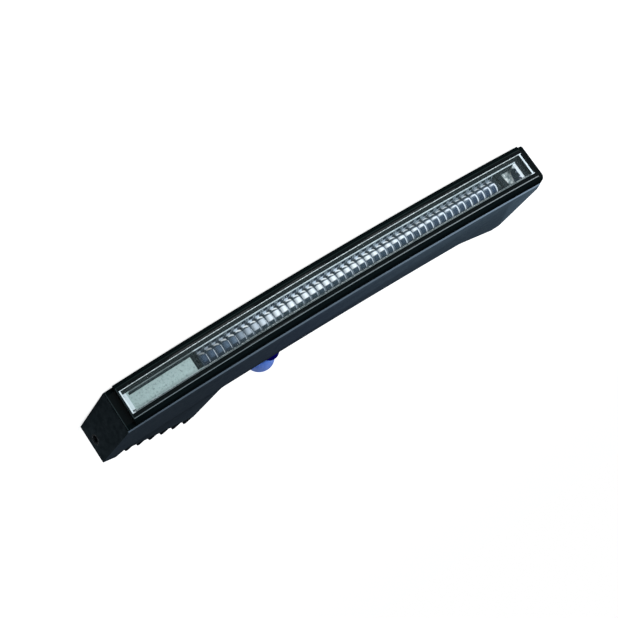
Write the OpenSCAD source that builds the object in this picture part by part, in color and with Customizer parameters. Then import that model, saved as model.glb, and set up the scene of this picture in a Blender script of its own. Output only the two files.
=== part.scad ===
// Daytime running light: a slim bar lamp with a bowed front, a fluted optic behind a clear window,
// a toothed heat sink on the deep block at one end and a round connector on its back.
// The front faces -Y, +Z is up, and the deep block with the heat sink is at the +X end.

/* [Front] */
// Length of the front, end to end
front_l = 300; // [260:1:340]
// Height of the front
front_h = 28; // [27:0.5:32]
// Radius of the bowed front, seen from above
front_r = 1074; // [900:1:1400]
// Step from the housing's long edges in to the bezel's flange
flange_step = 1; // [0.8:0.1:1.2]
// Straight depth of the front at the two ends
rim_d = 2.2; // [1.5:0.1:2.4]

/* [Housing] */
// Depth of the slim middle
mid_d = 39.6; // [37:0.2:42]
// Thickness of the moulded walls
wall = 2.4; // [1.8:0.1:2.6]
// Half height of the hollow inside
hollow_half = 10.8; // [10.7:0.1:11]
// Draft of the long sides, in millimetres for each millimetre of depth
draft = 0.028; // [0.01:0.002:0.03]
// How far the toothed end leans out beyond the front
end_lean = 17; // [12:0.5:20]
// Depth of the toothed end's back corner
end_d = 51.5; // [48:0.5:54]
// Where the deep block's inner flank meets the middle
flank_x = 85; // [78:0.5:86]
// Where the plain block's ramp meets the middle
ramp_x = -92; // [-96:0.5:-86]
// Depth of the plain block
plain_d = 61; // [56:0.5:64]
// Width of the plain block's back
plain_w = 6; // [4:0.5:10]
// Distance from the plain end to its block's back
plain_in = 22; // [18:0.5:26]
// Radius of the rounded outer corners
corner_r = 3; // [1:0.5:4]
// How far the plain end lies inside the bezel's end
plain_step = 1.8; // [1.2:0.1:2.2]
// Radius of the bend where the deep block leaves the middle
bend_r = 5; // [4:0.5:8]
// Radius of the soft bend where the ramp leaves the middle
ramp_r = 12; // [6:0.5:13]

/* [Heat sink] */
// Number of teeth
tooth_n = 6; // [4:1:6]
// Spacing of the teeth along X
tooth_px = 8.3; // [7.5:0.1:8.6]
// Rise of the teeth for each step
tooth_py = 4.25; // [3.5:0.05:4.5]
// Height of a sharp tooth above its foot
tooth_h = 11.1; // [8:0.1:12]
// Lean of a tooth towards the middle
tooth_lean = 2.1; // [1:0.1:3]
// Radius of a tooth's tip
tip_r = 1.2; // [0.6:0.1:1.6]
// Half length of the teeth
tooth_half = 11.8; // [11:0.1:11.9]
// Half height of the plug that sits in the housing
plug_half = 9.6; // [8.5:0.1:9.8]

/* [Bezel and window] */
// How far the bezel's field stands proud of its flange
bezel_rise = 5; // [3:0.5:7]
// Half height of the bezel's field
bezel_half = 10.5; // [10.2:0.1:10.6]
// How far the bezel's shoulder lies behind the field
shoulder_drop = 0.6; // [0.4:0.1:1]
// Distance from the front's end to the raised bezel's end
bezel_in = 5.4; // [5:0.1:5.6]
// Radius of the bezel's corner at the plain end, on the side that is seen least
bezel_corner_r = 4.5; // [2:0.5:4.5]
// Chamfer along the long edges of the bezel and the window
bezel_chamfer = 0.4; // [0.2:0.1:0.5]
// Thickness of the bezel's flange
flange_t = 2.5; // [2:0.1:3]
// Half height of the window
window_half = 7.7; // [7.4:0.1:7.9]
// Distance from the front's end to the window's end
window_in = 7.3; // [6.9:0.1:8]
// How far the window stands proud of the bezel
window_rise = 0.7; // [0.3:0.1:1.2]
// Thickness of the window
window_t = 2.5; // [2:0.1:3]

/* [Optics] */
// Half height of the chamber's opening
chamber_half = 6; // [5.8:0.1:6.2]
// Distance from the front's end to the optic chamber
chamber_in = 10.5; // [10.2:0.1:12]
// Distance from the front's end to the tray's bright end ledge
ledge_in = 7.5; // [7.4:0.1:7.8]
// How far the black frame round the chamber stands before the flange
chamber_out = 1.9; // [1.5:0.1:1.9]
// How far the tray's edge stands before the flange
tray_out = 0.7; // [0.3:0.1:1.2]
// Thickness of the tray's walls
tray_t = 0.6; // [0.5:0.1:0.8]
// Depth of the tray's floor behind the flange's face
floor_d = 12; // [11:0.2:13]
// Spacing of the flutes
flute_p = 5; // [4.5:0.05:5.5]
// Radius of a flute's crest
crest_r = 5; // [4.6:0.1:5]
// Depth of the grooves between the flutes
groove_d = 0.8; // [0.4:0.1:1.2]
// Length of the frosted panel
panel_l = 41.5; // [36:0.5:42]
// Depth of the frosted panel behind the flange's face
panel_d = 6; // [4:0.5:7]

/* [Boards] */
// Thickness of a circuit board
board_t = 1.6; // [1:0.2:1.6]
// Depth of the light board's front behind the flange's face
led_board_d = 14.6; // [14.4:0.1:15]
// Thickness of the aluminium strip behind the light board
strip_t = 2; // [1.5:0.5:3]
// Width of one light
led_w = 2.8; // [2:0.1:3]
// Height of one light
led_t = 1.2; // [0.6:0.1:1.2]
// Length of the driver board
driver_l = 44; // [42:0.5:45]

/* [Connector] */
// Where the connector is along the back
socket_x = 50; // [40:1:56]
// Outer radius of the socket
socket_r = 7.9; // [7.6:0.1:8.1]
// How far the socket stands out of the back
socket_l = 40; // [30:0.5:40]
// Radius of the round latch beside the socket
latch_r = 6.3; // [5.5:0.1:6.3]
// Length of the latch
latch_l = 10.4; // [8:0.2:14]
// Radius of the blue cap
cap_r = 10; // [9:0.1:10.4]
// Length of the blue cap
cap_l = 20; // [14:0.5:24]

/* [Hidden] */
clear = 0.1;
seat = 0.02;
fine = 720;
round_fn = 48;
half_l = front_l / 2;

// Bowed front: height of the arc at x, and the frame that follows it
function bow(x) = front_r - sqrt(front_r * front_r - x * x);
function turn(x) = asin(x / front_r);
// Back of the slim middle at x, and a point t mm from it that dives into the wall
function mid_back(x) = front_r - sqrt(pow(front_r - mid_d, 2) - x * x);
function dive(x, t) = [x + t, mid_back(x) + t * x / (front_r - mid_d) - 0.35, 0];

// The long sides are straight up to draft_y and then come together
draft_y = 5;
function drafted_half(y) = front_h / 2 - draft * (y - draft_y);

// Corners of an outline, each given as [x, y, radius]
function unit(v) = v / norm(v);
function corner(p, a, b, r) =
    let (u = unit(a - p), v = unit(b - p), half = acos(u * v) / 2, steps = 8)
    let (mid = p + unit(u + v) * r / sin(half))
    let (s = p + u * r / tan(half) - mid, e = p + v * r / tan(half) - mid)
    r <= 0 ? [p] : [for (i = [0:steps]) mid + r * unit(s * (1 - i / steps) + e * i / steps)];
function flat(p) = [p[0], p[1]];
function rounded(pts) = let (n = len(pts)) [for (i = [0:n - 1])
    each corner(flat(pts[i]), flat(pts[(i + n - 1) % n]), flat(pts[(i + 1) % n]), pts[i][2])];
// The same outline, w further in, for points that run anticlockwise
function inward(a, b) = let (d = unit(b - a)) [-d[1], d[0]];
function inset_point(a, p, b, w) = let (m = inward(a, p), n = inward(p, b)) p + w * (m + n) / (1 + m * n);
function inset(pts, w) = [for (i = [0:len(pts) - 1])
    inset_point(flat(pts[(i + len(pts) - 1) % len(pts)]), flat(pts[i]), flat(pts[(i + 1) % len(pts)]), w)];

// Toothed block, seen from above
end_y = bow(half_l) + rim_d;
ridge = [half_l + end_lean - 9.2, end_d + 6.4];
seat_a = [half_l + end_lean - 14.6, end_d + 0.9];
seat_b = seat_a + [-tooth_n * tooth_px, tooth_n * tooth_py];
seat_l = norm(seat_b - seat_a);
seat_turn = atan2(seat_b[1] - seat_a[1], seat_b[0] - seat_a[0]);
root_l = 8;
deep_block = [[flank_x - root_l, 0, 0], [half_l, 0, 0], [half_l, end_y, 0], [half_l + end_lean, end_d, 1.2],
    [ridge[0], ridge[1], 1], [seat_a[0], seat_a[1], 0], [seat_b[0], seat_b[1], 0],
    [flank_x, mid_back(flank_x), bend_r], dive(flank_x, -root_l)];
// Plain block, seen from above
plain_x = -half_l + plain_in;
plain_end = -half_l + plain_step;
plain_block = [[plain_end, 0, 0], [ramp_x + root_l, 0, 0], dive(ramp_x, root_l),
    [ramp_x, mid_back(ramp_x), ramp_r], [plain_x + plain_w, plain_d, corner_r],
    [plain_x, plain_d - 0.6, corner_r], [plain_end, end_y, 0]];
deep_hollow = [[flank_x - root_l, 0], [half_l, 0], [half_l, end_y], [half_l + end_lean, end_d],
    seat_a, seat_b, [flank_x, mid_back(flank_x)], dive(flank_x, -root_l)];

// Tooth tips
first_tip = seat_a + [-tooth_lean, tooth_h];
short_dir = unit(seat_a - first_tip);
long_dir = unit(seat_a + [-tooth_px, tooth_py] - first_tip);
tip_half = acos(short_dir * long_dir) / 2;
tip_mid = first_tip + unit(short_dir + long_dir) * tip_r / sin(tip_half);

// Where the whole lamp lies: its box is centred on X and Y, and stands on Z = 0
back_y = tip_mid[1] + (tooth_n - 1) * tooth_py + tip_r;
window_y = -bezel_rise - window_rise;
far_end_x = max([for (p = rounded(deep_block)) p[0]]);
shift_x = -(far_end_x - half_l) / 2;
shift_y = -(back_y + window_y) / 2;

// Depths behind the flange's face
strip_d = led_board_d + board_t;
post_d = strip_d + strip_t;
tray_half = chamber_half - clear / 2;
tray_in = chamber_in + clear / 2;
optic_d = floor_d - clear;
optic_mid = optic_d - 3.9;
seal_w = 1.2;
seal_t = 1.5;
seal_in = 3.6;
seal_half = hollow_half + 0.4 + seal_w;
ledge_w = seal_in + seal_w + 0.7;
board_in = chamber_in + 2.5;
frame_d = 8;
flange_half = front_h / 2 - flange_step;
// The tray holds the frosted panel, the optic bar and the end reflector, one after the other
tray_end = half_l - tray_in - tray_t - clear;
reflector_l = 12;
optic_x = tray_end - panel_l - 3.25;
flute_n = floor((optic_x + tray_end - reflector_l - 5.4) / flute_p);
// Lights sit behind every second flute, and behind the frosted panel; screws sit between two lights
light_p = flute_p * 2;
light_n = floor(flute_n / 2) + 4;
function light_x(i) = optic_x + 3.5 * light_p - flute_p * 1.5 - i * light_p;
function between(x) = light_x(round((light_x(0) - x) / light_p - 0.5)) - light_p / 2;
post_xs = [for (x = [76.5, 26.5, -23.5, -73.5]) between(x)];
screw_r = 1.25;
screw_head_r = 2.2;
screw_l = 10;
insert_r = 3.5;
thread_r = 2.5;
insert_l = 9;
end_turn = atan2(end_lean, end_d - end_y);
end_hole = [half_l + end_lean * 0.83, end_y + (end_d - end_y) * 0.83];
back_xs = [-60, 4];
vent_x = -42;

// Puts a piece, drawn about the front's middle, where the lamp lies
module placed() {
    translate([shift_x, shift_y, front_h / 2]) children();
}

// A bar that follows the bow, between x0 and x1, d0 and d1 deep behind the rim, half high each way,
// with its long front edges chamfered
module bowed(x0, x1, d0, d1, half, chamfer = 0) {
    over = 12;
    intersection() {
        translate([0, front_r, -half])
            rotate([0, 0, -90 + turn(x0 - over)])
                rotate_extrude(angle = turn(x1 + over) - turn(x0 - over), $fn = fine)
                    translate([front_r - d1, 0]) bar_section(d1 - d0, half * 2, chamfer);
        translate([x0, -40, -half - 1]) cube([x1 - x0, 200, half * 2 + 2]);
    }
}

module bar_section(d, h, c) {
    if (c > 0) polygon([[0, 0], [d - c, 0], [d, c], [d, h - c], [d - c, h], [0, h]]);
    else square([d, h]);
}

// A frame that follows the bow, with an opening through it
module bowed_ring(in_out, half_out, in_open, half_open, d0, d1) {
    difference() {
        bowed(-half_l + in_out, half_l - in_out, d0, d1, half_out);
        bowed(-half_l + in_open, half_l - in_open, d0 - 1, d1 + 1, half_open);
    }
}

// A block as long and as high as the front, seen from the front, with rounded corners at the plain end
module outlined(x0, x1, half, r_top, r_low) {
    translate([0, 150, 0]) rotate([90, 0, 0]) linear_extrude(200)
        polygon(rounded([[x0, -half, r_top], [x1, -half, 0], [x1, half, 0], [x0, half, r_low]]));
}

// Places what is drawn along +Y at x on the bow, d deep
module at_bow(x, d) {
    translate([(front_r - d) * sin(turn(x)), front_r - (front_r - d) * cos(turn(x)), 0])
        rotate([0, 0, turn(x)]) children();
}

// A rod along +Y
module rod(r, l, fn = round_fn) {
    rotate([-90, 0, 0]) cylinder(r = r, h = l, $fn = fn);
}

// The frame of the heat sink's seat: +X runs along it to the middle, +Y points into the housing
module on_seat() {
    translate([seat_a[0], seat_a[1], 0]) rotate([0, 0, seat_turn]) children();
}

// The frame of the toothed end: +Y points out of the end
module on_end() {
    translate([end_hole[0], end_hole[1], 0]) rotate([0, 0, -90 - end_turn]) children();
}

// What the plain end's upper corner loses along the front and down its end
front_cut = [3.6, 2];

module outer_form() {
    intersection() {
        union() {
            translate([0, 0, -front_h]) linear_extrude(front_h * 2) polygon(rounded(deep_block));
            translate([0, 0, -front_h]) linear_extrude(front_h * 2) polygon(rounded(plain_block));
            bowed(ramp_x - 1, flank_x + 1, 0, mid_d, front_h);
        }
        translate([0, front_r, -front_h / 2]) cylinder(r = front_r - flange_t, h = front_h, $fn = fine);
        translate([0, 150, 0]) rotate([90, 0, 0]) linear_extrude(200)
            polygon([[plain_end, -front_h], [front_l, -front_h], [front_l, front_h],
                [plain_end + front_cut[0] + front_h, front_h], [plain_end + front_cut[0], front_h / 2],
                [plain_end, front_h / 2 - front_cut[1]]]);
        translate([-front_l, 0, 0]) rotate([90, 0, 90]) linear_extrude(front_l * 2)
            polygon([[0, -front_h / 2], [draft_y, -front_h / 2], [front_l, -drafted_half(front_l)],
                [front_l, drafted_half(front_l)], [draft_y, front_h / 2], [0, front_h / 2]]);
    }
}

// The hollow inside, with a ledge left under the bezel at both ends
module hollow() {
    intersection() {
        translate([-front_l, -front_h, -hollow_half]) cube([front_l * 2, front_l, hollow_half * 2]);
        union() {
            difference() {
                union() {
                    translate([0, 0, -front_h]) linear_extrude(front_h * 2) polygon(inset(deep_hollow, wall));
                    translate([0, 0, -front_h]) linear_extrude(front_h * 2) polygon(inset(plain_block, wall));
                    bowed(ramp_x - 1, flank_x + 1, -1, mid_d - wall, front_h);
                }
                for (side = [-1, 1]) translate([side * (half_l + ledge_w) - ledge_w * 2, -1, -front_h * 2])
                    cube([ledge_w * 4, end_y + 4, front_h * 4]);
            }
            bowed(-half_l + ledge_w, half_l - ledge_w, -1, flange_t + 1, front_h);
        }
    }
}

module housing() {
    placed() color("#20283a") {
        difference() {
            outer_form();
            hollow();
            bowed_ring(seal_in, seal_half, seal_in + seal_w, seal_half - seal_w, flange_t - 1,
                flange_t + seal_t);
            on_seat() translate([3 - clear, -1, -plug_half - clear])
                cube([seat_l - 6 + clear * 2, wall + 4, (plug_half + clear) * 2]);
            at_bow(socket_x, mid_d - wall - 2) rod(socket_r + clear, wall + 4);
            at_bow(vent_x, mid_d - wall - 2) rod(3 + clear, wall + 4);
            on_end() translate([0, -insert_l, 0]) rod(insert_r, insert_l + 3);
            for (x = back_xs) at_bow(x, mid_d - insert_l) rod(insert_r, insert_l + 3);
        }
        for (x = post_xs) post(x);
        for (x = back_xs) boss(x);
        end_boss();
    }
}

// A post that carries the aluminium strip, with a blind hole for its screw
module post(x) {
    difference() {
        intersection() {
            translate([x, 0, 0]) rod(3.6, mid_d + 20);
            bowed(x - 5, x + 5, post_d, mid_d - wall + 0.2, hollow_half);
        }
        at_bow(x, post_d - 1) rod(screw_r + clear / 2, 9);
    }
}

// A boss round a threaded insert in the back
module boss(x) {
    difference() {
        at_bow(x, mid_d - insert_l - wall) rod(6, insert_l + wall * 2 - 1.2 - wall);
        at_bow(x, mid_d - insert_l) rod(insert_r, insert_l + 3);
    }
}

module end_boss() {
    difference() {
        on_end() translate([0, -insert_l - wall, 0]) rod(6, insert_l + 1);
        on_end() translate([0, -insert_l, 0]) rod(insert_r, insert_l + 3);
    }
}

// The black frame: a flange that lies on the housing, a shoulder, the field round the window,
// and a rib at the back that centres it in the housing's mouth
module bezel() {
    rib_t = 2;
    placed() color("#08090b") difference() {
        union() {
            intersection() {
                bowed(-half_l - 1, half_l + 1, 0, flange_t - seat, front_h / 2);
                outlined(-half_l + clear, half_l - clear, flange_half, 1.2, bezel_corner_r);
            }
            bowed(-half_l + bezel_in, half_l - bezel_in, shoulder_drop - bezel_rise, 1, flange_half - clear,
                bezel_chamfer);
            bowed(-half_l + bezel_in + 0.3, half_l - bezel_in - 0.3, -bezel_rise, 0.5, bezel_half,
                bezel_chamfer);
            bowed(-half_l + ledge_w + clear, half_l - ledge_w - clear, 1, flange_t + rib_t,
                hollow_half - clear);
        }
        bowed(-half_l + window_in - clear, half_l - window_in + clear, -bezel_rise - 1, flange_t,
            window_half + clear);
        bowed(-half_l + bezel_in + 1.1, half_l - bezel_in - 1.1, -bezel_rise - window_rise + window_t,
            flange_t + rib_t + 1, bezel_half - 1.1);
    }
}

module window() {
    lip_d = -bezel_rise - window_rise + window_t;
    placed() color("#dfe9f0", 0.35) union() {
        bowed(-half_l + window_in, half_l - window_in, -bezel_rise - window_rise, lip_d + 0.4, window_half,
            bezel_chamfer);
        bowed(-half_l + bezel_in + 1.2, half_l - bezel_in - 1.2, lip_d + seat, lip_d + 1.2, bezel_half - 1.2);
    }
}

module bezel_seal() {
    placed() color("#303030")
        bowed_ring(seal_in + clear, seal_half - clear, seal_in + seal_w - clear, seal_half - seal_w + clear,
            flange_t + seat, flange_t + seal_t - seat);
}

module chamber_frame() {
    side_half = bezel_half - 1.3;
    side_in = bezel_in + 1.4;
    placed() color("#0c0d10") {
        bowed_ring(side_in, side_half, ledge_in, chamber_half, -chamber_out, 0);
        bowed_ring(side_in, side_half, ledge_in, side_half - 1.4, -0.5, frame_d);
    }
}

// Bright tray with a ledge at both ends and a hole for each light
module reflector_tray() {
    ledge_x = half_l - ledge_in - clear;
    placed() color("#d8dde2") difference() {
        bowed(-ledge_x, ledge_x, -tray_out, led_board_d - seat, tray_half);
        for (side = [-1, 1]) translate([side * half_l, bow(half_l) + 1, 0])
            translate([-tray_in, -0.2, -front_h]) cube([tray_in * 2, front_l, front_h * 2]);
        bowed(-half_l + tray_in + tray_t, half_l - tray_in - tray_t, -tray_out - 1, floor_d,
            tray_half - tray_t);
        bowed(-half_l + tray_in + tray_t, half_l - tray_in - tray_t, floor_d + 0.8, led_board_d + 1,
            tray_half - tray_t);
        for (i = [0:light_n - 1]) at_bow(light_x(i), floor_d - 1) rod(2.2, 3, 24);
    }
}

module optic_bar() {
    far_x = optic_x - flute_n * flute_p;
    valley = crest_r - groove_d;
    placed() color("#e6f0f6", 0.6) union() {
        for (i = [0:flute_n - 1]) flute(optic_x - (i + 0.5) * flute_p, valley);
        bowed(far_x, optic_x, optic_mid - 1, optic_d, 3.2);
    }
}

// One flute: half a barrel across the bar, thickest in its middle
module flute(x, valley) {
    half_p = flute_p / 2 + 0.05;
    at_bow(x, optic_mid) rotate([0, 90, 0])
        rotate([0, 0, 180]) rotate_extrude(angle = 180, $fn = 64)
            polygon([[0, -half_p], [valley, -half_p], [valley + groove_d * 0.75, -half_p * 0.6],
                [crest_r, 0], [valley + groove_d * 0.75, half_p * 0.6], [valley, half_p], [0, half_p]]);
}

module frosted_panel() {
    panel_half = tray_half - tray_t - clear;
    placed() color("#b4c4be") difference() {
        bowed(tray_end - panel_l, tray_end, panel_d, optic_d, panel_half);
        bowed(tray_end - panel_l + 1.5, tray_end - 1.5, panel_d + 2, optic_d + 1, panel_half - 1.5);
    }
}

// Bright stepped wedge that closes the optic at the plain end
module end_reflector() {
    x0 = -tray_end;
    half = tray_half - tray_t - clear;
    facet_n = 3;
    facet = half * 2 / facet_n;
    placed() color("#e4e8ec") intersection() {
        bowed(x0, x0 + reflector_l, clear, optic_d, half);
        union() {
            for (i = [0:facet_n - 1]) {
                translate([x0 - 1, bow(x0), -half + (i + 0.5) * facet])
                    rotate([0, 0, -48 - i * 4]) rotate([45, 0, 0])
                        translate([-20, -facet * 0.71, -facet * 0.71]) cube([40, facet * 1.42, facet * 1.42]);
            }
            bowed(x0 - 1, x0 + reflector_l + 1, optic_d - 3, optic_d + 1, half + 1);
            bowed(x0 - 1, x0 + 2, -1, optic_d + 1, half + 1);
        }
    }
}

module light_board() {
    board_half = tray_half + 2.25;
    placed() color("#1c5a34") difference() {
        bowed(-half_l + board_in, half_l - board_in, led_board_d, strip_d, board_half);
        for (x = post_xs) at_bow(x, led_board_d - 1) rod(screw_r + 0.2, board_t + 2);
    }
}

module lights() {
    placed() color("#f0e4a8") for (i = [0:light_n - 1])
        at_bow(light_x(i), led_board_d - led_t) translate([-led_w / 2, 0, -led_w / 2])
            cube([led_w, led_t - seat, led_w]);
}

module carrier_strip() {
    strip_half = hollow_half - 0.6;
    placed() color("#a8adb3") difference() {
        bowed(-half_l + board_in, half_l - board_in, strip_d, post_d, strip_half);
        for (x = post_xs) at_bow(x, strip_d - 1) rod(screw_r + 0.2, strip_t + 2);
    }
}

module strip_screws() {
    placed() color("#c9c9c9") for (x = post_xs) {
        at_bow(x, led_board_d - 1.1) rod(screw_head_r, 1.08);
        at_bow(x, led_board_d - 0.5) rod(screw_r, screw_l);
    }
}

module heat_sink() {
    placed() color("#0e1013") difference() {
        union() {
            translate([0, 0, -tooth_half]) linear_extrude(tooth_half * 2) teeth();
            on_seat() translate([3, -root_t / 2, -plug_half])
                cube([seat_l - 6, wall + 1 + root_t / 2, plug_half * 2]);
        }
        for (p = board_holes) on_seat() translate([p[0], 0.8, p[1]]) rod(screw_r + clear / 2, wall + 4);
    }
}

// Outline of the teeth on their thin root, which lies on the seat
module teeth() {
    reach = tip_r / tan(tip_half);
    step = [-tooth_px, tooth_py];
    polygon([for (k = [0:tooth_n - 1]) each [
        seat_a + k * step - (k > 0 ? short_dir * root_t : [0, 0]),
        first_tip + short_dir * reach + k * step, tip_mid + k * step, first_tip + long_dir * reach + k * step,
        seat_a + (k + 1) * step - (k < tooth_n - 1 ? long_dir * root_t : [0, 0])]]);
    for (k = [0:tooth_n - 1]) translate(tip_mid + k * step) circle(r = tip_r, $fn = round_fn);
}

// The driver board lies on a pad on the heat sink's plug
root_t = 0.4;
pad_t = 1;
pad_y = wall + 1;
board_y = pad_y + pad_t;
parts_y = board_y + board_t;
driver_x = (seat_l - driver_l) / 2;
driver_half = 8.8;
// The parts on the board shrink and grow with its length
board_k = driver_l / 44;
hole_in = 3.5 * board_k;
board_holes = [[driver_x + hole_in, -5.4], [driver_x + hole_in, 5.4],
    [driver_x + driver_l - hole_in, -5.4], [driver_x + driver_l - hole_in, 5.4]];

module board_plate(y, t) {
    difference() {
        translate([driver_x, y, -driver_half]) cube([driver_l, t, driver_half * 2]);
        for (p = board_holes) translate([p[0], y - 1, p[1]]) rod(screw_r + 0.2, t + 2);
    }
}

module thermal_pad() {
    placed() color("#8fa7b8") on_seat() board_plate(pad_y, pad_t);
}

module driver_board() {
    placed() color("#17623a") on_seat() board_plate(board_y, board_t);
}

// Coil between the two cheeks of its core
module inductor() {
    cheek_r = 5 * board_k;
    placed() color("#3b3b3f") on_seat() translate([driver_x + 15 * board_k, parts_y, 0]) {
        rod(cheek_r, 1.2);
        translate([0, 1, 0]) rod(cheek_r * 0.84, 4);
        translate([0, 4.8, 0]) rod(cheek_r, 1.2);
    }
}

module capacitors() {
    placed() color("#6f7780") for (i = [0:1]) on_seat()
        translate([driver_x + (25 + i * 8.4) * board_k, parts_y, 3.2 - i * 6.4]) rod(3.2 * board_k, 7);
}

module driver_chips() {
    placed() color("#141414") on_seat() {
        translate([driver_x + 22.4 * board_k, parts_y, -6.8]) cube([5 * board_k, 1.4, 4.4]);
        translate([driver_x + 30.6 * board_k, parts_y, 2.4]) cube([5 * board_k, 1.4, 4.4]);
    }
}

module wire_header() {
    placed() color("#e8e4d8") on_seat() translate([driver_x + 6.6 * board_k, parts_y, -7.4]) difference() {
        cube([2.6, 6, 14.8]);
        translate([0.6, 1.2, 0.6]) cube([1.4, 6, 13.6]);
    }
}

module board_screws() {
    placed() color("#c9c9c9") for (p = board_holes) on_seat() translate([p[0], 0, p[1]]) {
        translate([0, parts_y, 0]) rod(screw_head_r, 1.6);
        translate([0, 1.2, 0]) rod(screw_r, parts_y);
    }
}

module on_socket() {
    at_bow(socket_x, mid_d) children();
}

pin_xs = [-3, 0, 3];
pin_r = 0.8;
pin_in = 5;
pin_out = 26;
collar_r = socket_r + 2.5;
// Round socket held from inside by its collar, with a latch on the back beside it
module connector_socket() {
    placed() color("#10126e") on_socket() difference() {
        union() {
            translate([0, -wall - 2.4, 0]) rod(collar_r, 1.2);
            translate([0, -wall - 2, 0]) rod(socket_r, wall + 2 + socket_l);
            translate([-1.4, clear, drafted_half(mid_d) - seat - latch_r]) rod(latch_r, latch_l);
        }
        translate([0, 6, 0]) rod(socket_r - 1.8, socket_l);
        translate([0, -wall - 3, 0]) rod(socket_r - 3, wall + 4);
        for (x = pin_xs) translate([x, -5, 0]) rod(pin_r, 20, 24);
    }
}

module contact_pins() {
    placed() color("#d9b45a") on_socket() for (x = pin_xs)
        translate([x, -wall - pin_in, 0]) rod(pin_r, wall + pin_in + pin_out, 24);
}

module socket_seal() {
    placed() color("#38383a") on_socket() difference() {
        translate([0, -wall - 1.2, 0]) rod(collar_r, 1.1);
        translate([0, -wall - 2, 0]) rod(socket_r + clear, 3);
    }
}

module dust_cap() {
    cap_y = socket_l + 2.2 - cap_l;
    placed() color("#3f66e0") on_socket() difference() {
        translate([0, cap_y, 0]) rod(cap_r, cap_l);
        translate([0, cap_y - 1, 0]) rod(socket_r + clear, cap_l - 1);
    }
}

module vent_plug() {
    placed() color("#17181b") at_bow(vent_x, mid_d) difference() {
        union() {
            translate([0, 0.1, 0]) rod(6.5, 2.4);
            translate([0, -wall - 1.6, 0]) rod(3, wall + 2.6);
            translate([0, -wall - 1.6, 0]) rod(3.6, 1.4);
        }
        translate([0, -wall - 3, 0]) rod(1.6, 20, 24);
    }
}

module vent_membrane() {
    placed() color("#f2f2f2") at_bow(vent_x, mid_d) translate([0, -wall - 1.8, 0]) rod(2.8, 0.2, 24);
}

module end_insert() {
    placed() color("#caa24a") on_end() translate([0, -insert_l, 0]) sleeve();
}

module back_inserts() {
    placed() color("#caa24a") for (x = back_xs) at_bow(x, mid_d - insert_l) sleeve();
}

// Threaded insert, open at its outer end
module sleeve() {
    difference() {
        rod(insert_r, insert_l);
        translate([0, 1.5, 0]) rod(thread_r, insert_l);
    }
}

housing();
bezel();
window();
bezel_seal();
chamber_frame();
reflector_tray();
optic_bar();
frosted_panel();
end_reflector();
light_board();
lights();
carrier_strip();
strip_screws();
heat_sink();
thermal_pad();
driver_board();
inductor();
capacitors();
driver_chips();
wire_header();
board_screws();
connector_socket();
contact_pins();
socket_seal();
dust_cap();
vent_plug();
vent_membrane();
end_insert();
back_inserts();
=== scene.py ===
"""Looks of a slim, bowed daytime running light, laid out as an add-on and run as a script.

Sizes and places are in metres. The lamp lies on one long side: its front faces -Y, +Z is up and the
toothed block is at its +X end. Places on the lamp are given by x along it, by the depth d behind the
arc of the front rim, and by the height z from the middle.
"""
import math

import bmesh
import bpy
from mathutils import Matrix, Vector


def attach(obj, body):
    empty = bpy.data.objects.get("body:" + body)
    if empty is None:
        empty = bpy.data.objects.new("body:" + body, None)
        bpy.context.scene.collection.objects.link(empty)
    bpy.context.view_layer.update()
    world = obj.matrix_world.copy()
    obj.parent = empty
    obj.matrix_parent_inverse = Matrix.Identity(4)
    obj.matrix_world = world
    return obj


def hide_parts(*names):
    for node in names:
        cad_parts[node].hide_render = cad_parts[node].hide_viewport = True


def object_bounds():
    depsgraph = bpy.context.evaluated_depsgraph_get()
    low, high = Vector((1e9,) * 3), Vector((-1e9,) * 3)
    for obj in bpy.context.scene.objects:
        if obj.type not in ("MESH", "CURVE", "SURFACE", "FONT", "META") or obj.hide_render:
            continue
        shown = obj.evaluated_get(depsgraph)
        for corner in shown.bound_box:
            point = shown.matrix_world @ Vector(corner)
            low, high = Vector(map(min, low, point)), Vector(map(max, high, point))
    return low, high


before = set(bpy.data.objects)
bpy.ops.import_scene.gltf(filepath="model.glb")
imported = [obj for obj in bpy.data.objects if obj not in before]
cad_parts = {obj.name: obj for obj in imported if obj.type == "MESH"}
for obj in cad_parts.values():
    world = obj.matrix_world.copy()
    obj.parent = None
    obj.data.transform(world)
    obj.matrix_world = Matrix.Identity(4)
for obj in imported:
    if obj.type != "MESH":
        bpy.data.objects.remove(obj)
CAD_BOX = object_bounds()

bl_info = {
    "name": "Daytime running light",
    "version": (1, 0, 0),
    "blender": (4, 5, 0),
    "location": "3D View > Sidebar > Running light",
    "description": "Builds the looks of a bowed running light around its packed model",
    "category": "Object",
}

MM = 0.001
BODY = "root"
HALF_LENGTH = 150 * MM
HALF_HEIGHT = 14 * MM
# How far the window stands out before the arc of the front rim
WINDOW_RISE = 5.7 * MM
MIDDLE = Vector((CAD_BOX[0].x + HALF_LENGTH, CAD_BOX[0].y + WINDOW_RISE, HALF_HEIGHT))
# The toothed end: the way its face looks, and how far out it is
END_NORMAL = Vector((0.91584, -0.401544, 0))
END_REACH = 140.209 * MM
# The seat of the teeth: the ways it looks and runs, how far out it is, where it starts, and the teeth's pitch
SEAT_NORMAL = Vector((0.455780, 0.890107, 0))
SEAT_ALONG = Vector((-SEAT_NORMAL.y, SEAT_NORMAL.x, 0))
SEAT_REACH = 77.80 * MM
SEAT_START = -122.11 * MM
SEAT_PITCH = 9.325 * MM
# Where colours that change along the lamp start and end
HOUSING_ENDS = (-150 * MM, 160 * MM)
BEZEL_ENDS = (-150 * MM, 150 * MM)
OPTIC_ENDS = (-130 * MM, 100 * MM)
# The camera, placed from the lamp's middle
LENS = 90.91
CAMERA_PLACE = Vector((0.26898, -0.84812, 0.20157))
CAMERA_RIGHT = Vector((-0.8258, -0.1118, 0.5528))
CAMERA_BACK = Vector((0.2700, -0.9389, 0.2133))
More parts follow.
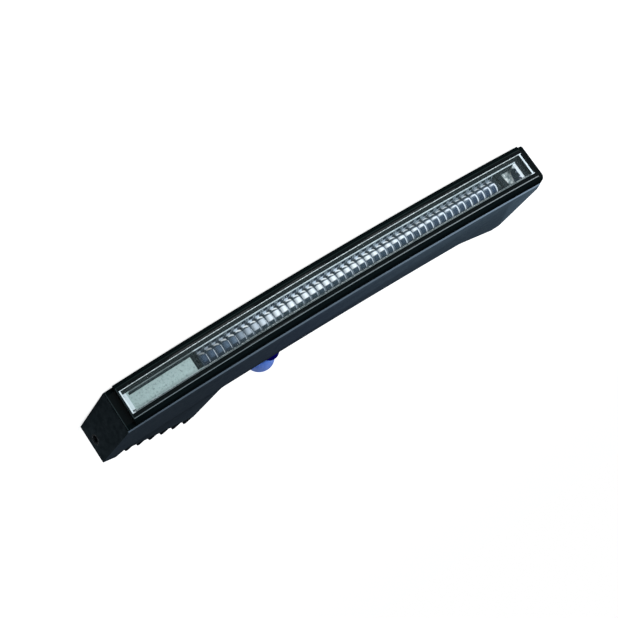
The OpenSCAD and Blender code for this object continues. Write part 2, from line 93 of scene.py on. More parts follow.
# Name, place, width and height, power and colour of each studio light
STUDIO_LIGHTS = (
    ("Overhead", (-0.25, -0.15, 0.9), (1.0, 0.5), 1.3, (0.93, 0.97, 1.0)),
    ("Front", (-0.35, -1.20, 0.28), (0.7, 0.5), 17, (0.93, 0.98, 1.0)),
)
# Nodes, finish, dark and light colour, roughness, shine and grain of the fittings that aren't metal
FITTINGS = (
    (("light_board", "driver_board"), "board_green", (0.012, 0.12, 0.045), (0.02, 0.17, 0.07), 0.4, 0.5, 500),
    (("bezel_seal", "socket_seal"),
     "seal_rubber", (0.015, 0.015, 0.016), (0.03, 0.03, 0.031), 0.7, 0.2, 1200),
    (("driver_chips",), "chip_black", (0.01, 0.01, 0.011), (0.02, 0.02, 0.021), 0.35, 0.4, 900),
    (("inductor",), "ferrite", (0.03, 0.03, 0.033), (0.055, 0.055, 0.06), 0.6, 0.3, 700),
    (("thermal_pad",), "pad_soft", (0.28, 0.38, 0.45), (0.36, 0.46, 0.54), 0.8, 0.2, 900),
    (("wire_header",), "header_nylon", (0.68, 0.65, 0.56), (0.78, 0.75, 0.66), 0.45, 0.4, 600),
    (("lights",), "light_phosphor", (0.8, 0.68, 0.22), (0.9, 0.8, 0.35), 0.4, 0.4, 1500),
    (("vent_plug",), "vent_black", (0.012, 0.013, 0.016), (0.022, 0.024, 0.028), 0.5, 0.3, 900),
    (("vent_membrane",), "membrane_white", (0.7, 0.7, 0.7), (0.85, 0.85, 0.85), 0.8, 0.2, 2500),
)
# Nodes, finish, dark and light colour, roughness, grain and the grain's stretch of the metal fittings
METAL_FITTINGS = (
    (("strip_screws", "board_screws"),
     "screw_zinc", (0.45, 0.46, 0.47), (0.62, 0.63, 0.64), 0.35, 500, (1, 1, 8)),
    (("contact_pins",), "pin_plated", (0.6, 0.45, 0.18), (0.78, 0.6, 0.28), 0.25, 500, (1, 1, 8)),
    (("carrier_strip",), "strip_rolled", (0.5, 0.52, 0.54), (0.66, 0.68, 0.7), 0.35, 700, (8, 1, 1)),
    (("capacitors",), "can_sleeve", (0.34, 0.37, 0.4), (0.48, 0.51, 0.54), 0.3, 500, (1, 1, 8)),
)


# Pieces


def bow(x, d, z):
    """The point at x on the bow, d deep and z up."""
    radius = sizes().bow_radius
    turn = math.asin(x / radius)
    reach = radius - d
    return MIDDLE + Vector((reach * math.sin(turn), radius - reach * math.cos(turn), z))


def hand_over(piece, nodes):
    """Lets a finished piece ride on the lamp and stand for the CAD nodes named."""
    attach(piece, BODY)
    if nodes:
        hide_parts(*nodes)


def show(name, mesh_data, material, slot, *nodes):
    """Makes a piece of a finished mesh and hands it over."""
    piece = bpy.data.objects.new(name, mesh_data)
    bpy.context.scene.collection.objects.link(piece)
    mesh_data.materials.clear()
    mesh_data.materials.append(material)
    hand_over(piece, nodes)


def show_eased(node, name, material, slot, width, segments=2):
    """Shows a copy of a CAD node with eased edges in its place."""
    show(name, eased_copy(node, name, width, segments), material, slot, node)


def dress(material, *nodes):
    """Gives CAD nodes their finish."""
    for node in nodes:
        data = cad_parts[node].data
        data.materials.clear()
        data.materials.append(material)


def apply_modifiers(piece):
    """Puts the piece's mesh with its modifiers applied in place of the old one."""
    graph = bpy.context.evaluated_depsgraph_get()
    graph.update()
    result = bpy.data.meshes.new_from_object(piece.evaluated_get(graph), depsgraph=graph)
    piece.modifiers.clear()
    old = piece.data
    piece.data = result
    bpy.data.meshes.remove(old)


def smooth(mesh_data, angle=30):
    """Shades the mesh smooth, apart from edges sharper than the angle in degrees."""
    mesh_data.polygons.foreach_set("use_smooth", [True] * len(mesh_data.polygons))
    mesh_data.set_sharp_from_angle(angle=math.radians(angle))


def eased_copy(node, name, width, segments):
    """A copy of a CAD node's mesh with its edges eased, merged into clean faces first."""
    same_place, same_plane, corner = 2e-6, math.radians(0.4), math.radians(25)
    form = bmesh.new()
    form.from_mesh(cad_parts[node].data)
    bmesh.ops.remove_doubles(form, verts=form.verts, dist=same_place)
    bmesh.ops.dissolve_limit(
        form, angle_limit=same_plane, verts=form.verts, edges=form.edges, delimit={"NORMAL"})
    copy = bpy.data.meshes.new(name)
    form.to_mesh(copy)
    form.free()
    smooth(copy)
    piece = bpy.data.objects.new(name, copy)
    bpy.context.scene.collection.objects.link(piece)
    ease = piece.modifiers.new("Eased edges", "BEVEL")
    ease.width = width
    ease.segments = segments
    ease.limit_method = "ANGLE"
    ease.angle_limit = corner
    ease.use_clamp_overlap = True
    ease.harden_normals = True
    ease.miter_outer = "MITER_ARC"
    apply_modifiers(piece)
    result = piece.data
    bpy.data.objects.remove(piece)
    smooth(result)
    return result


# Materials


class Finish:
    """A material and its node tree, with short calls for the nodes that every finish here uses."""

    def __init__(self, name):
        self.material = bpy.data.materials.new(name)
        self.material.use_nodes = True
        self.nodes = self.material.node_tree.nodes
        self.links = self.material.node_tree.links
        self.nodes.clear()
        self.out = self.nodes.new("ShaderNodeOutputMaterial")
        self.place = self.nodes.new("ShaderNodeTexCoord").outputs["Object"]

    def link(self, source, socket):
        self.links.new(source, socket)

    def shader(self, color=(0.5, 0.5, 0.5), **values):
        """Adds the Principled shader, with plain values on its own sockets."""
        node = self.nodes.new("ShaderNodeBsdfPrincipled")
        node.inputs["Base Color"].default_value = (*color, 1)
        for key, value in values.items():
            node.inputs[key.replace("_", " ")].default_value = value
        self.link(node.outputs[0], self.out.inputs[0])
        self.principled = node

    def grain(self, scale, detail, roughness=0.5, stretch=None):
        """Fine noise that follows the piece, stretched along an axis where asked."""
        node = self.nodes.new("ShaderNodeTexNoise")
        node.inputs["Scale"].default_value = scale
        node.inputs["Detail"].default_value = detail
        node.inputs["Roughness"].default_value = roughness
        source = self.place
        if stretch is not None:
            mapping = self.nodes.new("ShaderNodeMapping")
            mapping.inputs["Scale"].default_value = stretch
            self.link(source, mapping.inputs["Vector"])
            source = mapping.outputs[0]
        self.link(source, node.inputs["Vector"])
        return node.outputs["Fac"]

    def axis(self, name):
        node = self.nodes.new("ShaderNodeSeparateXYZ")
        self.link(self.place, node.inputs[0])
        return node.outputs[name]

    def stored(self, key):
        """The three numbers of a named attribute, which the pieces of a row carry with them."""
        node = self.nodes.new("ShaderNodeAttribute")
        node.attribute_name = key
        split = self.nodes.new("ShaderNodeSeparateXYZ")
        self.link(node.outputs["Vector"], split.inputs[0])
        return split.outputs

    def maths(self, operation, first, second=0.0):
        node = self.nodes.new("ShaderNodeMath")
        node.operation = operation
        for socket, value in zip(node.inputs, (first, second)):
            if isinstance(value, bpy.types.NodeSocket):
                self.link(value, socket)
            else:
                socket.default_value = value
        return node.outputs[0]

    def times(self, first, second):
        return self.maths("MULTIPLY", first, second)

    def plus(self, first, second):
        return self.maths("ADD", first, second)

    def minus(self, first, second):
        return self.maths("SUBTRACT", first, second)

    def most(self, first, second):
        return self.maths("MAXIMUM", first, second)

    def absolute(self, value):
        return self.maths("ABSOLUTE", value)

    def x(self):
        """Place along the lamp, from its middle."""
        return self.minus(self.axis("X"), MIDDLE.x)

    def z(self):
        """Height above the lamp's middle."""
        return self.minus(self.axis("Z"), MIDDLE.z)

    def reach(self, normal):
        """How far out a place is in a level direction."""
        return self.plus(self.times(self.axis("X"), normal.x), self.times(self.axis("Y"), normal.y))

    def below(self, source, low, high):
        """1 below low and 0 above high."""
        return self.between(source, low, high, 1.0, 0.0)

    def band(self, source, low, high, soft):
        """1 between low and high, with soft ends."""
        return self.times(self.between(source, low - soft, low + soft),
                          self.below(source, high - soft, high + soft))

    def depth(self):
        """Depth behind the arc of the front rim, in metres."""
        flat = self.nodes.new("ShaderNodeVectorMath")
        flat.operation = "MULTIPLY_ADD"
        self.link(self.place, flat.inputs[0])
        flat.inputs[1].default_value = (1, 1, 0)
        flat.inputs[2].default_value = (-MIDDLE.x, -MIDDLE.y - sizes().bow_radius, 0)
        far = self.nodes.new("ShaderNodeVectorMath")
        far.operation = "LENGTH"
        self.link(flat.outputs[0], far.inputs[0])
        return self.minus(sizes().bow_radius, far.outputs["Value"])

    def between(self, source, low, high, to_low=0.0, to_high=1.0):
        """Rises from to_low at low to to_high at high, and stays level outside."""
        node = self.nodes.new("ShaderNodeMapRange")
        for key, value in zip(("From Min", "From Max", "To Min", "To Max"), (low, high, to_low, to_high)):
            node.inputs[key].default_value = value
        self.link(source, node.inputs["Value"])
        return node.outputs["Result"]

    def ramp(self, source, *stops):
        """Colours by position, each stop given as (position, (r, g, b))."""
        node = self.nodes.new("ShaderNodeValToRGB")
        points = node.color_ramp.elements
        while len(points) < len(stops):
            points.new(0.5)
        for point, (position, color) in zip(points, stops):
            point.position = position
            point.color = (*color, 1)
        self.link(source, node.inputs[0])
        return node.outputs[0]

    def mixed(self, amount, first, second, blend="MIX"):
        node = self.nodes.new("ShaderNodeMix")
        node.data_type = "RGBA"
        node.blend_type = blend
        for key, value in (("Factor", amount), ("A", first), ("B", second)):
            socket = [s for s in node.inputs if s.name == key and s.enabled][0]
            if isinstance(value, bpy.types.NodeSocket):
                self.link(value, socket)
            elif key == "Factor":
                socket.default_value = value
            else:
                socket.default_value = (*value, 1)
        return [s for s in node.outputs if s.enabled][0]

    def bump(self, height, strength, distance):
        node = self.nodes.new("ShaderNodeBump")
        node.inputs["Strength"].default_value = strength
        node.inputs["Distance"].default_value = distance
        self.link(height, node.inputs["Height"])
        self.link(node.outputs[0], self.principled.inputs["Normal"])

    def use(self, key, source):
        self.link(source, self.principled.inputs[key])


def moulded(name, dark, light, roughness, shine, grain):
    """A moulded or coated surface: two close colours in a fine grain, with a matching bump."""
    finish = Finish(name)
    finish.shader(Roughness=roughness, Specular_IOR_Level=shine)
    fine = finish.grain(grain, 4)
    broad = finish.grain(grain / 30, 2)
    tone = finish.mixed(0.5, finish.ramp(fine, (0.35, dark), (0.65, light)),
                        finish.ramp(broad, (0.35, dark), (0.65, light)))
    finish.use("Base Color", tone)
    finish.use("Roughness", finish.between(broad, 0.3, 0.7, roughness - 0.06, roughness + 0.06))
    finish.bump(fine, 0.35, 0.04 * MM)
    return finish.material


def metal(name, dark, light, roughness, grain, stretch):
    """Metal with a drawn or turned grain."""
    finish = Finish(name)
    finish.shader(Metallic=1.0, Roughness=roughness)
    fine = finish.grain(grain, 3, stretch=stretch)
    finish.use("Base Color", finish.ramp(fine, (0.3, dark), (0.7, light)))
    finish.use("Roughness", finish.between(fine, 0.3, 0.7, roughness - 0.08, roughness + 0.08))
    finish.bump(fine, 0.3, 0.01 * MM)
    return finish.material


def tooth_shadow(finish, z):
    """1 on the sides of the toothed block where they border the teeth, in one scallop for each tooth."""
    deepest, soft = 1.6 * MM, 0.3 * MM
    teeth = finish.band(finish.axis("X"), 90 * MM, 144 * MM, 1 * MM)
    turn = finish.times(finish.minus(finish.reach(SEAT_ALONG), SEAT_START), math.pi / SEAT_PITCH)
    scallop = finish.times(finish.absolute(finish.maths("SINE", turn)), deepest)
    past = finish.minus(finish.plus(finish.reach(SEAT_NORMAL), scallop), SEAT_REACH)
    return finish.times(finish.times(finish.between(past, -soft, 0.0), teeth), on_sides(finish, z))


def on_sides(finish, z):
    """1 on the housing's long sides."""
    return finish.between(finish.absolute(z), 9.0 * MM, 9.5 * MM)


def housing_finish():
    """Dark blue-grey plastic with a fine grain, with painted light that makes it lighter towards the plain
    end. Its front ledge carries a painted highlight, and the face of the toothed end is painted nearly black
    as shade."""
    given = colors()
    finish = Finish("housing_plastic")
    finish.shader(Roughness=0.5, Specular_IOR_Level=0.04)
    z = finish.z()
    along = finish.between(finish.axis("X"), *HOUSING_ENDS)
    fine, speck = finish.grain(1400, 4), finish.grain(260, 3)
    # painted light: the housing runs from light at the plain end to dark at the toothed end
    tone = finish.ramp(along, (0.0, given.housing_far), (0.55, given.housing_mid), (0.78, given.housing_near))
    shade = finish.ramp(fine, (0.3, (0.78, 0.8, 0.84)), (0.7, (1.12, 1.1, 1.08)))
    cloud = finish.ramp(speck, (0.3, (0.86, 0.88, 0.92)), (0.7, (1.08, 1.06, 1.04)))
    tone = finish.mixed(1.0, finish.mixed(1.0, tone, shade, "MULTIPLY"), cloud, "MULTIPLY")
    # painted highlight along the front ledge, brightest at the plain end
    ledge = finish.times(finish.below(finish.depth(), 2.55 * MM, 2.85 * MM),
                         finish.between(z, 12.6 * MM, 12.9 * MM))
    lit = finish.ramp(along, *((at, tuple(c * power for c in given.edge))
                               for at, power in ((0.0, 1.9), (0.35, 1.0), (1.0, 0.75))))
    tone = finish.mixed(ledge, tone, lit)
    # painted shade: the face of the toothed end is turned nearly black
    end = finish.between(finish.reach(END_NORMAL), END_REACH - 0.30 * MM, END_REACH - 0.12 * MM)
    end_shade = finish.ramp(speck, (0.35, (0.0140, 0.0200, 0.0236)), (0.7, (0.0262, 0.0350, 0.0400)))
    tone = finish.mixed(end, tone, end_shade)
    finish.use("Base Color", finish.mixed(tooth_shadow(finish, z), tone, (0.006, 0.008, 0.010)))
    # no shine on the long sides, which are seen at a slant, nor on the end
    shine = finish.between(on_sides(finish, z), 0.0, 1.0, 0.04, 0.0)
    finish.use("Specular IOR Level", finish.times(shine, finish.below(end, 0.0, 1.0)))
    finish.use("Roughness", finish.between(speck, 0.3, 0.7, 0.45, 0.6))
    finish.bump(fine, 0.4, 0.05 * MM)
    return finish.material


def bezel_finish():
    """Gloss black, with thin painted highlight lines along the edges of the raised field and at the toothed
    end.
    """
    black = tuple(colors().bezel)
    finish = Finish("bezel_black")
    finish.shader(black, Roughness=0.12)
    x, z, deep = finish.x(), finish.z(), finish.depth()
    dust = finish.grain(2600, 2)
    tone = finish.ramp(dust, (0.3, black), (0.75, tuple(c * 1.6 for c in black)))
    # painted highlights: bright along the upper edge of the raised field and brightest towards the plain end,
    # faint teal along the lower edge, dim at the toothed end
    front = finish.below(deep, -4.70 * MM, -4.55 * MM)
    upper = finish.times(front, finish.between(z, 9.95 * MM, 10.1 * MM))
    lower = finish.times(front, finish.below(z, -10.1 * MM, -9.95 * MM))
    end = finish.times(finish.between(x, 149.2 * MM, 149.5 * MM), finish.below(deep, 0.3 * MM, 0.6 * MM))
    step = finish.times(finish.band(x, 143.8 * MM, 144.4 * MM, 0.05 * MM), front)
    line = finish.ramp(finish.between(x, *BEZEL_ENDS), (0.0, (0.24, 0.27, 0.28)), (0.5, (0.13, 0.16, 0.17)))
    tone = finish.mixed(upper, tone, line)
    tone = finish.mixed(lower, tone, (0.012, 0.026, 0.024))
    finish.use("Base Color", finish.mixed(finish.most(end, step), tone, (0.020, 0.030, 0.033)))
    # no shine on the long sides, which are seen at a slant
    finish.use("Specular IOR Level", finish.between(finish.absolute(z), 10.2 * MM, 10.4 * MM, 0.03, 0.0))
    finish.bump(finish.grain(160, 1), 0.08, 0.02 * MM)
    return finish.material


def window_finish():
    """Clear plastic: nearly all light passes straight through it, and its surface keeps its shine."""
    clearness, roughness = 0.95, 0.03
    finish = Finish("window_clear")
    finish.shader((0.20, 0.27, 0.28), Roughness=roughness, Specular_IOR_Level=0.04, Alpha=1 - clearness)
    haze = finish.grain(700, 2)
    finish.use("Roughness", finish.between(haze, 0.3, 0.8, roughness, roughness + 0.04))
    return finish.material


# Settings that a user may change


def length_setting(label, note, default):
    return bpy.props.FloatProperty(name=label, description=note, default=default, unit="LENGTH", precision=5)


def color_setting(label, note, default):
    return bpy.props.FloatVectorProperty(
        name=label, description=note, default=default, subtype="COLOR", size=3, min=0, max=1)


class LampSizes(bpy.types.PropertyGroup):
    bow_radius: length_setting("Bow radius", "Radius of the bowed front", 1.074)
    flute_pitch: length_setting("Flute pitch", "Spacing of the flutes along the optic", 5 * MM)
    flute_crest: length_setting("Flute crest", "Radius of a flute's crest", 5 * MM)
    groove: length_setting("Groove", "Depth of the grooves between the flutes", 0.8 * MM)
    optic_start: length_setting("Optic start", "Where the fluted optic starts, from the middle", 94 * MM)
    optic_depth: length_setting("Optic depth", "Depth of the flutes' axis behind the rim", 8 * MM)
    eased: length_setting("Eased edge", "Width of the eased edges on the housing", 0.25 * MM)
    flute_count: bpy.props.IntProperty(
        name="Flutes", description="Number of flutes on the optic", default=43, min=1)


class LampColors(bpy.types.PropertyGroup):
    # the three housing colours carry painted light, lighter towards the plain end
    housing_near: color_setting("Toothed end", "Housing colour at the toothed end", (0.0310, 0.0420, 0.0540))
    housing_mid: color_setting("Middle", "Housing colour in the middle", (0.0360, 0.0505, 0.0720))
    housing_far: color_setting("Plain end", "Housing colour at the plain end", (0.0880, 0.1280, 0.1620))
    bezel: color_setting("Bezel", "Colour of the bezel", (0.0018, 0.0033, 0.0037))
    # colour of the painted highlight on the housing's front ledge
    edge: color_setting("Lit edges", "Colour of the housing's lit front edge", (0.095, 0.125, 0.160))
    cap: color_setting("Cap", "Colour of the round cap", (0.122, 0.265, 0.870))
    socket: color_setting("Socket", "Colour of the round socket", (0.004, 0.002, 0.150))
    frost: color_setting("Frosted panel", "Colour of the frosted panel", (0.368, 0.478, 0.474))


def sizes():
    return bpy.context.scene.lamp_sizes


def colors():
    return bpy.context.scene.lamp_colors


# Rows of like pieces on the bow


def bow_tree():
    """Geometry Nodes that repeat a piece along the bow at an even pitch."""
    tree = bpy.data.node_groups.new("Row on the bow", "GeometryNodeTree")
    face = tree.interface
    face.new_socket("Geometry", in_out="INPUT", socket_type="NodeSocketGeometry")
    for key, kind in (("Count", "Int"), ("First", "Float"), ("Pitch", "Float"), ("Radius", "Float"),
                      ("Depth", "Float"), ("Origin", "Vector"), ("Material", "Material")):
        face.new_socket(key, in_out="INPUT", socket_type="NodeSocket" + kind)
    face.new_socket("Geometry", in_out="OUTPUT", socket_type="NodeSocketGeometry")
    nodes, links = tree.nodes, tree.links
    given = nodes.new("NodeGroupInput").outputs
    result = nodes.new("NodeGroupOutput")

    def number(operation, first, second=None):
        node = nodes.new("ShaderNodeMath")
        node.operation = operation
        for socket, value in zip(node.inputs, (first, second)):
            if isinstance(value, (int, float)):
                socket.default_value = value
            elif value is not None:
                links.new(value, socket)
        return node.outputs[0]

    step = number("MULTIPLY", nodes.new("GeometryNodeInputIndex").outputs[0], given["Pitch"])
    x = number("SUBTRACT", given["First"], step)
    turn = number("ARCSINE", number("DIVIDE", x, given["Radius"]))
    reach = number("SUBTRACT", given["Radius"], given["Depth"])
    place = nodes.new("ShaderNodeCombineXYZ")
    links.new(number("MULTIPLY", reach, number("SINE", turn)), place.inputs[0])
    links.new(number("SUBTRACT", given["Radius"], number("MULTIPLY", reach, number("COSINE", turn))),
              place.inputs[1])
    moved = nodes.new("ShaderNodeVectorMath")
    links.new(place.outputs[0], moved.inputs[0])
    links.new(given["Origin"], moved.inputs[1])
    points = nodes.new("GeometryNodePoints")
    links.new(given["Count"], points.inputs["Count"])
    links.new(moved.outputs[0], points.inputs["Position"])
    facing = nodes.new("ShaderNodeCombineXYZ")
    links.new(turn, facing.inputs[2])
    copies = nodes.new("GeometryNodeInstanceOnPoints")
    links.new(points.outputs[0], copies.inputs["Points"])
    links.new(given["Geometry"], copies.inputs["Instance"])
    links.new(facing.outputs[0], copies.inputs["Rotation"])
    real = nodes.new("GeometryNodeRealizeInstances")
    links.new(copies.outputs[0], real.inputs[0])
    dressed = nodes.new("GeometryNodeSetMaterial")
    links.new(real.outputs[0], dressed.inputs[0])
    links.new(given["Material"], dressed.inputs["Material"])
    links.new(dressed.outputs[0], result.inputs[0])
    return tree


def row_on_bow(name, form, material, slot, *nodes):
    """Repeats the mesh form for each flute, through the Geometry Nodes tree, as one plain mesh."""
    given = sizes()
    tree = bpy.data.node_groups.get("Row on the bow") or bow_tree()
    piece = bpy.data.objects.new(name, form)
    bpy.context.scene.collection.objects.link(piece)
    row = piece.modifiers.new("Row", "NODES")
    row.node_group = tree
    values = {"Count": given.flute_count, "First": given.optic_start - given.flute_pitch / 2,
              "Pitch": given.flute_pitch, "Radius": given.bow_radius, "Depth": given.optic_depth,
              "Origin": MIDDLE, "Material": material}
    for socket in tree.interface.items_tree:
        if socket.in_out == "INPUT" and socket.name in values:
            row[socket.identifier] = values[socket.name]
    apply_modifiers(piece)
    hand_over(piece, nodes)


def mesh_of(form, name, angle=30):
    """A plain mesh of a bmesh, with its doubles merged and its faces turned outwards."""
    same_place = 1e-6
    bmesh.ops.remove_doubles(form, verts=form.verts, dist=same_place)
    bmesh.ops.recalc_face_normals(form, faces=form.faces)
    result = bpy.data.meshes.new(name)
    form.to_mesh(result)
    form.free()
    smooth(result, angle)
    return result


def flute_form():
    """One flute of the optic: a pillow, thickest in its middle, closed at its back."""
    pitch, crest, groove = sizes().flute_pitch, sizes().flute_crest, sizes().groove
    across, around, sharpness = 10, 32, 2.4
    form = bmesh.new()
    cell = form.verts.layers.float_vector.new("cell")
    grid = []
    for i in range(across + 1):
        u = -1 + 2 * i / across
        radius = crest - groove * abs(u) ** sharpness
        line = []
        for j in range(around + 1):
            turn = math.pi * (j / around - 0.5)
            corner = form.verts.new((u * pitch / 2, -radius * math.cos(turn), radius * math.sin(turn)))
            corner[cell] = (u, turn / (math.pi / 2), 0)
            line.append(corner)
        grid.append(line)
    for i in range(across):
        for j in range(around):
            form.faces.new((grid[i][j], grid[i + 1][j], grid[i + 1][j + 1], grid[i][j + 1]))
    for line in (grid[0], grid[-1]):
        form.faces.new(line)
    form.faces.new([line[0] for line in grid] + [line[-1] for line in reversed(grid)])
    return mesh_of(form, "flute", 60)


def prism_form():
    """One prism beside a flute, sloping from the tray's rim to the flute's side, which carries painted
    reflections of the flutes.
    """
    # a thin gap is left between two prisms
    half = sizes().flute_pitch * 0.48
    outline = ((0.1 * MM, -5.3 * MM, 0.0), (4.5 * MM, -3.8 * MM, 1.0), (6.0 * MM, -4.65 * MM, 1.2),
               (7.6 * MM, -5.3 * MM, 1.4))
    form = bmesh.new()
    cell = form.verts.layers.float_vector.new("cell")
    rings = []
    for u in (-1, 1):
        ring = []
        for d, z, v in outline:
            corner = form.verts.new((u * half, d - sizes().optic_depth, z))
            corner[cell] = (u, v, 0)
            ring.append(corner)
        rings.append(ring)
        form.faces.new(ring)
    for j in range(len(outline)):
        k = (j + 1) % len(outline)
        form.faces.new((rings[0][j], rings[0][k], rings[1][k], rings[1][j]))
    return mesh_of(form, "prism")


# Materials of the optic and of what lies round it


def flute_ground(finish, x, wide, v):
    """The groove between two flutes and the dark cell on the flute's upper side, both painted reflections
    that change along the bar.
    """
    groove = finish.ramp(x, (0.0, (0.12, 0.16, 0.22)), (0.5, (0.22, 0.27, 0.32)), (0.78, (0.20, 0.25, 0.30)),
                         (0.86, (0.04, 0.06, 0.09)))
    grain = finish.between(finish.grain(520, 2), 0.35, 0.65, 0.0, 0.5)
    navy = finish.ramp(x, (0.0, (0.026, 0.045, 0.090)), (0.35, (0.026, 0.045, 0.075)),
                       (0.7, (0.022, 0.036, 0.050)), (0.9, (0.016, 0.024, 0.045)))
    cell = finish.times(finish.below(wide, 0.62, 0.80), finish.band(v, 0.05, 0.60, 0.03))
    return finish.mixed(cell, finish.mixed(grain, groove, (0.05, 0.07, 0.10)), navy)


def flute_pillow(finish, tone, x, u, wide, v):
    """A painted white reflection on each pillow, brightest a little off its middle, which is short at the
    plain end and dark by the frosted panel. Thin painted dark bars part it from its neighbours."""
    white = finish.ramp(x, (0.0, (0.80, 0.88, 1.0)), (0.45, (0.90, 0.96, 1.0)), (0.70, (0.88, 0.94, 1.0)),
                        (0.77, (0.55, 0.62, 0.70)), (0.84, (0.08, 0.12, 0.18)), (0.95, (0.026, 0.045, 0.085)))
    end = finish.between(finish.axis("X"), -100 * MM, 50 * MM, -0.06, 0.33)
    along = finish.times(finish.between(finish.minus(end, v), -0.02, 0.04), finish.between(v, -0.24, -0.17))
    hump = finish.between(finish.absolute(finish.plus(u, 0.15)), 0.25, 0.85, 1.0, 0.55)
    grey = finish.ramp(hump, (0.0, (0, 0, 0)), (1.0, (1, 1, 1)))
    tone = finish.mixed(finish.times(along, finish.below(wide, 0.70, 0.84)), tone,
                        finish.mixed(1.0, white, grey, "MULTIPLY"))
    bar = finish.times(finish.between(wide, 0.84, 0.92), finish.band(v, -0.30, 0.28, 0.04))
    bar = finish.times(bar, finish.between(x, 0.35, 0.6, 0.0, 0.8))
    return finish.mixed(bar, tone, (0.035, 0.050, 0.075))


def flute_lines(finish, tone, x, u, v):
    """Painted highlight lines beside the dark cells, thickest at the plain end and long towards both ends."""
    width = finish.between(finish.axis("X"), -120 * MM, 0.0, 0.52, 0.16)
    line = finish.below(finish.minus(finish.plus(u, 1.0), width), -0.06, 0.06)
    short = finish.times(line, finish.band(v, 0.02, 0.62, 0.03))
    long = finish.times(line, finish.band(v, -0.22, 0.62, 0.03))
    lit = finish.most(finish.times(short, finish.between(x, 0.3, 0.6, 0.9, 0.55)),
                      finish.times(long, finish.below(x, 0.35, 0.50)))
    lit = finish.most(lit, finish.times(long, finish.between(x, 0.80, 0.86, 0.0, 0.75)))
    return finish.mixed(lit, tone, (0.78, 0.86, 0.95))


def flute_leaf(finish, tone, x, u, v):
    """A painted highlight shaped like a leaf below the pillow, on a ground painted dark as shade, which
    slants more away from the plain end.
    """
    ground = finish.times(finish.below(v, -0.24, -0.20), 0.85)
    tone = finish.mixed(ground, tone, (0.030, 0.042, 0.060))
    lift = finish.between(x, 0.25, 0.50, 0.02, 0.11)
    lowered = finish.between(x, 0.25, 0.50, 0.11, 0.0)
    slant = finish.plus(finish.plus(finish.times(u, lift), v), lowered)
    leaf = finish.times(finish.band(slant, -0.54, -0.34, 0.04), finish.band(u, -0.70, 0.55, 0.12))
    return finish.mixed(finish.times(leaf, finish.between(x, 0.80, 0.92, 1.0, 0.30)), tone, (0.97, 1.0, 1.0))


def flute_finish():
    """Clear plastic whose reflections and shade are painted on as colour. On each flute, u runs from -1 to 1
    across it and v from -1 to 1 round it; x runs from 0 at the plain end to 1 at the frosted panel."""
    finish = Finish("optic_painted_reflections")
    finish.shader(Roughness=0.25, Specular_IOR_Level=0.03)
    u, v, _ = finish.stored("cell")
    wide = finish.absolute(u)
    x = finish.between(finish.axis("X"), *OPTIC_ENDS)
    tone = flute_ground(finish, x, wide, v)
    tone = flute_pillow(finish, tone, x, u, wide, v)
    tone = flute_lines(finish, tone, x, u, v)
    finish.use("Base Color", flute_leaf(finish, tone, x, u, v))
    return finish.material


def prism_finish():
    """Painted reflections of the flutes: small dark squares and pale blobs beside them; v runs round the
    prism, over its face and back.
    """
    finish = Finish("prism_painted_reflections")
    finish.shader(Roughness=0.3, Specular_IOR_Level=0.0)
    u, v, _ = finish.stored("cell")
    x = finish.between(finish.axis("X"), *OPTIC_ENDS)
    back = finish.ramp(finish.grain(900, 2), (0.38, (0.09, 0.12, 0.15)), (0.62, (0.36, 0.43, 0.50)))
    back = finish.mixed(finish.between(x, 0.78, 0.92, 0.0, 0.75), back, (0.020, 0.030, 0.040))
    dark = finish.ramp(x, (0.0, (0.010, 0.022, 0.024)), (0.6, (0.016, 0.027, 0.055)),
                       (1.0, (0.012, 0.016, 0.025)))
    square = finish.times(finish.band(u, -0.70, 0.45, 0.08), finish.band(v, 0.03, 0.52, 0.05))
    tone = finish.mixed(square, back, dark)
    under = finish.times(finish.band(u, -1.1, -0.25, 0.08), finish.band(v, 0.6, 1.1, 0.06))
    tone = finish.mixed(finish.times(under, 0.85), tone, (0.025, 0.035, 0.055))
    blob = finish.times(finish.band(u, -0.15, 0.80, 0.1), finish.band(v, 0.58, 1.1, 0.08))
    blob = finish.times(blob, finish.between(x, 0.25, 0.45, 0.25, 1.0))
    blob = finish.times(blob, finish.between(x, 0.80, 0.92, 1.0, 0.45))
    finish.use("Base Color", finish.mixed(blob, tone, (0.74, 0.85, 0.98)))
    return finish.material


def thread_finish():
    """Dark steel with a thin painted highlight line on each turn of the thread."""
    pitch = 0.8 * MM
    finish = Finish("insert_thread")
    finish.shader(Roughness=0.45, Specular_IOR_Level=0.02)
    wave = finish.maths("SINE", finish.times(finish.axis("X"), 2 * math.pi / pitch))
    speck = finish.ramp(finish.grain(800, 2), (0.4, (0.01, 0.012, 0.014)), (0.62, (0.10, 0.11, 0.13)))
    finish.use("Base Color", finish.mixed(finish.between(wave, 0.55, 0.9), (0.006, 0.008, 0.009), speck))
    return finish.material


